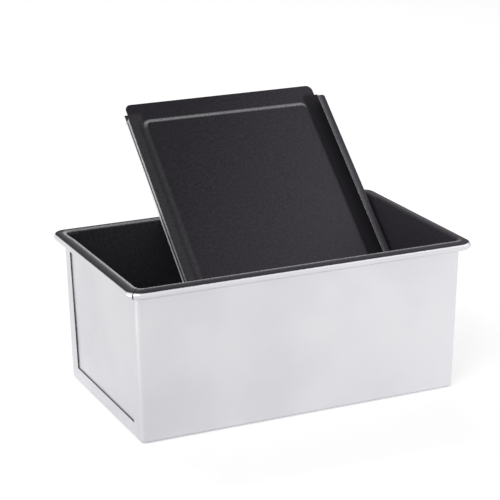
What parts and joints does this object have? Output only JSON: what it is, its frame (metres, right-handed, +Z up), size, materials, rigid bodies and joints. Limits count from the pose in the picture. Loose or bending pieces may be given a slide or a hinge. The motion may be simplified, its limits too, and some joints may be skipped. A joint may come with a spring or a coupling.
{
  "type": "pullman loaf pan",
  "caption": "Straight-sided steel loaf pan with a wired rolled rim and a loose slide-on lid that stands in the pan and leans on its rear rim; dark coating inside, bare metal outside.",
  "frame": {"origin": "centre of the pan's flat underside, on the surface that the pan stands on", "axes": "+X along the pan towards its right end, +Y across it towards the rear wall that the lid leans on, +Z up"},
  "size_m": [0.2428, 0.2129, 0.1669],
  "materials": {
    "trough_steel": "bare aluminised steel outside, satin; dark non-stick coating inside",
    "end_steel": "bare aluminised steel outside, satin; dark non-stick coating inside",
    "wire_steel": "drawn wire, hidden in the rim",
    "lid_coating": "sprayed dark non-stick coating on the inner side, fine orange-peel; bare satin steel on the back"
  },
  "bodies": {
    "pan": {"body_sheet": "trough_steel", "left_end_plate": "end_steel", "right_end_plate": "end_steel", "rim_wire": "wire_steel"},
    "loose_lid": {"lid": "lid_coating"}
  },
  "joints": [
    {"name": "lid_slide", "type": "slide", "parent": "pan", "child": "loose_lid", "axis": [0, 0.7493, 0.6622], "range_m": [0, 0.15]}
  ]
}
